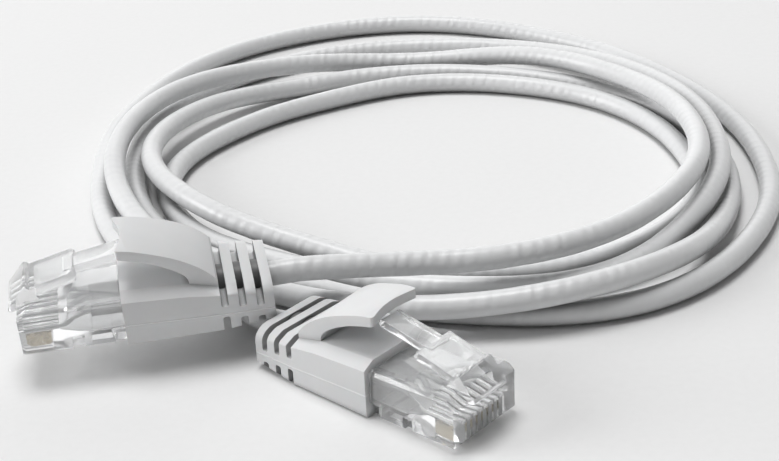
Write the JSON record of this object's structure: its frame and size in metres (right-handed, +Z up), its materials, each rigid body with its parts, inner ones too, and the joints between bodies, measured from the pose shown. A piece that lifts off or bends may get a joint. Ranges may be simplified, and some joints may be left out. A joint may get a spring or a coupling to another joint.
{
  "type": "patch cable",
  "caption": "Slim round network patch cable laid in a flat coil, with a clear modular plug, its latch, and a ribbed strain-relief boot with a latch guard at each end.",
  "frame": {"origin": "on the floor, under the centre of the whole bundle's bounding box", "axes": "+Z up; +Y away from the camera of the picture; +X to its right"},
  "size_m": [0.1116, 0.1499, 0.0182],
  "materials": {
    "jacket": "satin soft vinyl",
    "boot": "satin moulded vinyl",
    "clear_plastic": "clear moulded polycarbonate",
    "contact": "gold-plated",
    "wire_pale": "satin",
    "wire_dark": "satin"
  },
  "bodies": {
    "root": {"cable": "jacket", "plug_a_housing": "clear_plastic", "plug_a_boot": "boot", "plug_a_contact_1": "contact", "plug_a_contact_2": "contact", "plug_a_contact_3": "contact", "plug_a_contact_4": "contact", "plug_a_contact_5": "contact", "plug_a_contact_6": "contact", "plug_a_contact_7": "contact", "plug_a_contact_8": "contact", "plug_a_wire_1": "wire_pale", "plug_a_wire_2": "wire_dark", "plug_a_wire_3": "wire_pale", "plug_a_wire_4": "wire_dark", "plug_a_wire_5": "wire_pale", "plug_a_wire_6": "wire_dark", "plug_a_wire_7": "wire_pale", "plug_a_wire_8": "wire_dark", "plug_b_housing": "clear_plastic", "plug_b_boot": "boot", "plug_b_contact_1": "contact", "plug_b_contact_2": "contact", "plug_b_contact_3": "contact", "plug_b_contact_4": "contact", "plug_b_contact_5": "contact", "plug_b_contact_6": "contact", "plug_b_contact_7": "contact", "plug_b_contact_8": "contact", "plug_b_wire_1": "wire_pale", "plug_b_wire_2": "wire_dark", "plug_b_wire_3": "wire_pale", "plug_b_wire_4": "wire_dark", "plug_b_wire_5": "wire_pale", "plug_b_wire_6": "wire_dark", "plug_b_wire_7": "wire_pale", "plug_b_wire_8": "wire_dark"}
  },
  "joints": []
}
